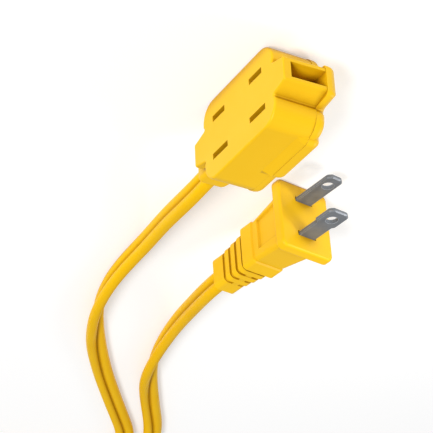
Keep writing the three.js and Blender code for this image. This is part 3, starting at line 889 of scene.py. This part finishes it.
def rib_tree():
    """Ribs in a row along x: rounded bars that shrink one by one and end in a longer one."""
    tree, given, out = new_group(
        "relief_ribs",
        "GeometryNodeTree",
        [
            ("Count", "NodeSocketInt", 4), ("Start", "NodeSocketFloat", 0.0258),
            ("Pitch", "NodeSocketFloat", 0.0035), ("Thickness", "NodeSocketFloat", 0.0026),
            ("Width", "NodeSocketFloat", 0.0104), ("Height", "NodeSocketFloat", 0.0137),
            ("Corner", "NodeSocketFloat", 0.0018), ("Shrink", "NodeSocketFloat", 0.06),
            ("Last Thickness", "NodeSocketFloat", 0.0052), ("Finish", "NodeSocketMaterial", None),
        ],
        [("Geometry", "NodeSocketGeometry")],
    )
    ask = given.outputs
    outline = node(tree, "GeometryNodeCurvePrimitiveQuadrilateral",
                   {"Width": ask["Width"], "Height": ask["Height"]})
    corner = node(tree, "GeometryNodeFilletCurve",
                  {"Curve": outline.outputs[0], "Radius": ask["Corner"], "Count": 5}, mode="POLY")
    disc = node(tree, "GeometryNodeFillCurve", {"Curve": corner.outputs[0]}, mode="NGONS")
    bar = node(tree, "GeometryNodeExtrudeMesh",
               {"Mesh": disc.outputs[0], "Offset Scale": ask["Thickness"], "Individual": False})
    shut = node(tree, "GeometryNodeJoinGeometry")
    tree.links.new(node(tree, "GeometryNodeFlipFaces", {"Mesh": disc.outputs[0]}).outputs[0], shut.inputs[0])
    tree.links.new(bar.outputs["Mesh"], shut.inputs[0])
    solid = node(tree, "GeometryNodeMergeByDistance", {"Geometry": shut.outputs[0], "Distance": 1e-6})
    turned = node(tree, "GeometryNodeTransform",
                  {"Geometry": solid.outputs[0], "Rotation": (math.pi / 2, 0, math.pi / 2)})
    start = node(tree, "ShaderNodeCombineXYZ", {"X": ask["Start"]})
    step = node(tree, "ShaderNodeCombineXYZ", {"X": ask["Pitch"]})
    row = node(tree, "GeometryNodeMeshLine",
               {"Count": ask["Count"], "Start Location": start.outputs[0], "Offset": step.outputs[0]})
    number = node(tree, "GeometryNodeInputIndex").outputs[0]
    smaller = math_node(tree, "SUBTRACT", 1.0, math_node(tree, "MULTIPLY", number, ask["Shrink"]))
    last = node(tree, "FunctionNodeCompare", data_type="INT", operation="EQUAL")
    tree.links.new(number, last.inputs[2])
    tree.links.new(math_node(tree, "SUBTRACT", ask["Count"], 1.0), last.inputs[3])
    longer = math_node(tree, "DIVIDE", ask["Last Thickness"], ask["Thickness"])
    stretch = node(tree, "GeometryNodeSwitch", {0: last.outputs[0], 1: 1.0, 2: longer}, input_type="FLOAT")
    size = node(tree, "ShaderNodeCombineXYZ", {"X": stretch.outputs[0], "Y": smaller, "Z": smaller})
    placed = node(tree, "GeometryNodeInstanceOnPoints",
                  {"Points": row.outputs[0], "Instance": turned.outputs[0], "Scale": size.outputs[0]})
    real = node(tree, "GeometryNodeRealizeInstances", {0: placed.outputs[0]})
    painted = node(tree, "GeometryNodeSetMaterial", {"Geometry": real.outputs[0], "Material": ask["Finish"]})
    tree.links.new(painted.outputs[0], out.inputs[0])
    return tree


def from_tree(name, tree, values):
    """The plain mesh that a geometry tree makes with these inputs."""
    made = add_object(name, bpy.data.meshes.new(name))
    step = made.modifiers.new("tree", "NODES")
    step.node_group = tree
    sockets = {item.name: item.identifier for item in tree.interface.items_tree if item.in_out == "INPUT"}
    for key, value in values.items():
        step[sockets[key]] = value
    bpy.context.view_layer.update()
    return bake(made)


def plug_strain_relief():
    """Tapered core with ribs round it and a spine above and below, bored for the cord."""
    ribs = from_tree("plug_strain_relief", rib_tree(), {
        "Count": 4, "Start": 26.2 * MM, "Pitch": 3.5 * MM, "Thickness": 2.0 * MM, "Width": 10.6 * MM,
        "Height": 13.8 * MM, "Corner": 2.2 * MM, "Shrink": 0.06, "Last Thickness": 5.2 * MM,
        "Finish": FINISH["yellow_vinyl"],
    })
    core = loft("core", along_rings([(25.1, 4.6, 6.0, 1.2), (41.2, 3.4, 4.95, 1.2)]))
    root = block(20.3, 25.8, -3.9, 3.9, -5, 5)
    join(core, root)
    for side in (-1, 1):
        spine = loft("spine", [
            [(x, -foot, side * low), (x, foot, side * low), (x, crest, side * high), (x, -crest, side * high)]
            for x, foot, crest, low, high in ((25.0, 1.5, 1.2, 4.5, 6.62), (36.6, 1.4, 1.1, 3.5, 5.75))])
        join(core, spine)
    join(core, ribs)
    bore = loft("bore", along_rings([(19, 2.1, 4.0, 1.8), (43, 2.1, 4.0, 1.8)]))
    return soften(cut(core, bore), 0.28, segments=2)


BLADE = {
    "root": 2.6, "flare_from": -7.9, "flare_to": -8.8, "shoulder": -15.0, "tip": -16.2, "tip_draft": 1.5,
}
BLADE_HOLE = {"x": -11.7, "radius": 1.95, "sides": 40}


def blade(side, base, tip_half):
    """A folded blade with bevelled edges, a hole near its tip and a crimp inside the plug."""
    z, middle = side * ROW, side * CRIMP_OFFSET
    flare = [(BLADE["flare_from"], base, 0.5), (BLADE["flare_to"], tip_half, 0.5)]
    edge = [
        (BLADE["root"], base, 0.2), *(flare if tip_half > base else []),
        (BLADE["shoulder"], tip_half, 1.4), (BLADE["tip"], tip_half - BLADE["tip_draft"], 1.0),
    ]
    mirrored = [(x, -y, radius) for x, y, radius in reversed(edge)]
    outline = rounded([mirrored[-1], *edge, *mirrored[:-1]], 4)
    rings = []
    for level, drawn in ((-BLADE_HALF, 0.35), (-0.4, 0), (0.4, 0), (BLADE_HALF, 0.35)):
        rings.append([(p.x, p.y, z + level) for p in inset(outline, drawn)])
    made = loft("blade", rings)
    tail = block(2.4, 11, -2.2, 2.2, z - BLADE_HALF, z + BLADE_HALF)
    join(made, tail, rod((10.2, 0, middle), (14.2, 0, middle), 1.6))
    x = BLADE_HOLE["x"]
    hole = rod((x, 0, z - 2), (x, 0, z + 2), BLADE_HOLE["radius"], BLADE_HOLE["sides"])
    cut(made, hole, rod((11, 0, middle), (16, 0, middle), 1.2))
    return soften(made, 0.1, segments=2)


plug_pieces = [
    finish_piece(plug_body(), "plug_moulding", PLUG_PLACE, "yellow_vinyl", "plug_body"),
    finish_piece(plug_strain_relief(), "plug_cord_grip", PLUG_PLACE, "yellow_vinyl", "plug_strain_relief"),
    finish_piece(blade(-1, 3.175, 3.175), "straight_blade", PLUG_PLACE, "nickel_plate", "hot_blade"),
    finish_piece(blade(1, 3.25, 3.97), "wide_blade", PLUG_PLACE, "nickel_plate", "neutral_blade"),
]


# ---------------------------------------------------------------- strap that holds the coil
STRAP = {
    "half_x": 8.0, "half_z": 8.4, "middle_z": 8.9, "corner": 2.6, "half_width": 6, "half_thick": 0.35,
}


def coil_strap():
    """A strap once round the turns, its end laid over its start."""
    cx, cy = COIL["centre"]
    middle = cx + (COIL["outer"] + COIL["inner"]) / 2
    left, right = middle - STRAP["half_x"], middle + STRAP["half_x"]
    top, bottom = STRAP["middle_z"] + STRAP["half_z"], STRAP["middle_z"] - STRAP["half_z"]
    corners = ((right, top), (left, top), (left, bottom), (right, bottom))
    outline = rounded([(x, z, STRAP["corner"]) for x, z in corners], 6)
    lap = [Vector((middle + x, top + z)) for x, z in ((5.2, 0.1), (1.5, 0.75), (-5.0, 0.85))]
    path = [outline[-1], *outline, *lap]
    width, thick = STRAP["half_width"], STRAP["half_thick"]
    mesh = bmesh.new()
    rings = []
    for i, point in enumerate(path):
        ahead = path[min(i + 1, len(path) - 1)] - path[max(i - 1, 0)]
        out = Vector((ahead.y, -ahead.x)).normalized() * -thick
        ring = []
        for y, offset in ((-width, out), (width, out), (width, -out), (-width, -out)):
            spot = point + offset
            ring.append(mesh.verts.new(Vector((spot.x, cy + y, spot.y)) * MM))
        rings.append(ring)
    for low, high in zip(rings, rings[1:]):
        for k in range(4):
            mesh.faces.new((low[k - 1], low[k], high[k], high[k - 1]))
    mesh.faces.new(rings[0])
    mesh.faces.new(rings[-1])
    bmesh.ops.recalc_face_normals(mesh, faces=mesh.faces)
    return soften(to_object("strap", mesh), 0.12, angle=50, segments=2)


strap = finish_piece(coil_strap(), "coil_strap", Matrix.Identity(4), "black_strap", "coil_tie")

# ---------------------------------------------------------------- CAD pieces that stay
KEPT = {
    "spring_brass": ["hot_bus_strip", "hot_clip_far", "hot_clip_rear", "hot_clip_near",
                     "neutral_bus_strip", "neutral_clip_far", "neutral_clip_rear", "neutral_clip_near"],
    "stranded_copper": ["tap_hot_conductor", "tap_neutral_conductor", "plug_hot_conductor",
                        "plug_neutral_conductor"],
    "white_nylon": ["plug_blade_carrier"],
}
for finish, names in KEPT.items():
    for name in names:
        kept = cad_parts[name]
        kept.data.materials.clear()
        kept.data.materials.append(FINISH[finish])


# ---------------------------------------------------------------- floor and light
def add_floor():
    mesh = bmesh.new()
    bmesh.ops.create_grid(mesh, x_segments=1, y_segments=1, size=4)
    floor = to_object("floor", mesh)
    floor.data.materials.append(pale_floor())


def add_light(name, position, target, size, power, seen=True):
    data = bpy.data.lights.new(name, "AREA")
    data.shape = "DISK"
    data.size = size
    data.energy = power
    light = add_object(name, data)
    light.visible_camera = seen
    light.location = position
    light.rotation_euler = (Vector(target) - Vector(position)).to_track_quat("-Z", "Y").to_euler()


def add_studio():
    world = bpy.data.worlds.new("studio")
    world.use_nodes = True
    sky = world.node_tree.nodes["Background"]
    sky.inputs["Color"].default_value = (1, 1, 1, 1)
    sky.inputs["Strength"].default_value = 0.45
    bpy.context.scene.world = world
    add_light("key", (-1.03, -1.62, 1.5), (0.1, 0.03, 0), 0.8, 46)
    add_light("plug fill", (-0.025, 0.12, 0.085), (0.045, 0.038, 0.012), 0.06, 0.086, seen=False)
    bpy.context.scene.view_settings.view_transform = "Standard"


add_floor()
add_studio()
